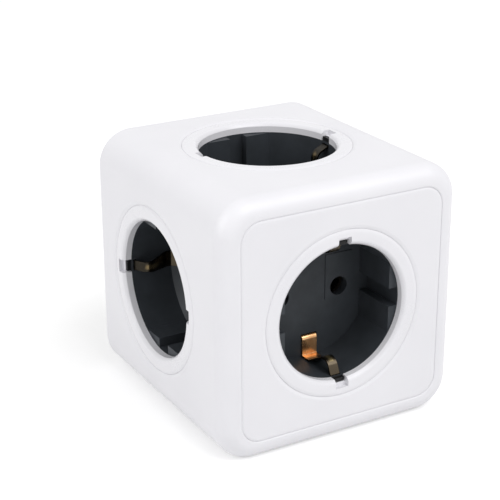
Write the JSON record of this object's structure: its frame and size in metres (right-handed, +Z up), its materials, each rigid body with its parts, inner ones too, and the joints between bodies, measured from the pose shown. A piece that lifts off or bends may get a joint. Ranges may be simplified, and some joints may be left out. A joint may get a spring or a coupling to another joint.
{
  "type": "multi socket adapter",
  "caption": "Cube-shaped wall adapter with an earthed round-pin socket on every free face and an earthed plug on its back, so that a wall socket can be shared.",
  "frame": {"origin": "middle of the plug's face, half-way between the two pins where they leave it", "axes": "+Y out along the pins into the wall, +Z up, the front socket faces -Y"},
  "size_m": [0.074, 0.1105, 0.074],
  "materials": {
    "white_plastic": "satin",
    "dark_plastic": "matt",
    "brass": "rolled strip",
    "nickel_plate": "nickel-plated",
    "screw_steel": "zinc-plated"
  },
  "bodies": {
    "root": {"housing_shell": "white_plastic", "front_panel": "white_plastic", "back_cover": "white_plastic", "trim_ring_front": "white_plastic", "trim_ring_left": "white_plastic", "trim_ring_right": "white_plastic", "trim_ring_top": "white_plastic", "trim_ring_bottom": "white_plastic", "socket_well_front": "dark_plastic", "socket_well_left": "dark_plastic", "socket_well_right": "dark_plastic", "socket_well_top": "dark_plastic", "socket_well_bottom": "dark_plastic", "plug_body": "dark_plastic", "earth_bow_front": "brass", "earth_bow_left": "brass", "earth_bow_right": "brass", "earth_bow_top": "brass", "earth_bow_bottom": "brass", "contact_tube_live_front": "brass", "contact_tube_live_sides": "brass", "contact_tube_live_upright": "brass", "contact_tube_neutral_front": "brass", "contact_tube_neutral_sides": "brass", "contact_tube_neutral_upright": "brass", "live_bus": "brass", "neutral_bus": "brass", "earth_bus": "brass", "plug_earth_sleeve": "brass", "plug_pin_live": "nickel_plate", "plug_pin_neutral": "nickel_plate", "plug_earth_strip_top": "nickel_plate", "plug_earth_strip_bottom": "nickel_plate", "cover_screws": "screw_steel"}
  },
  "joints": []
}
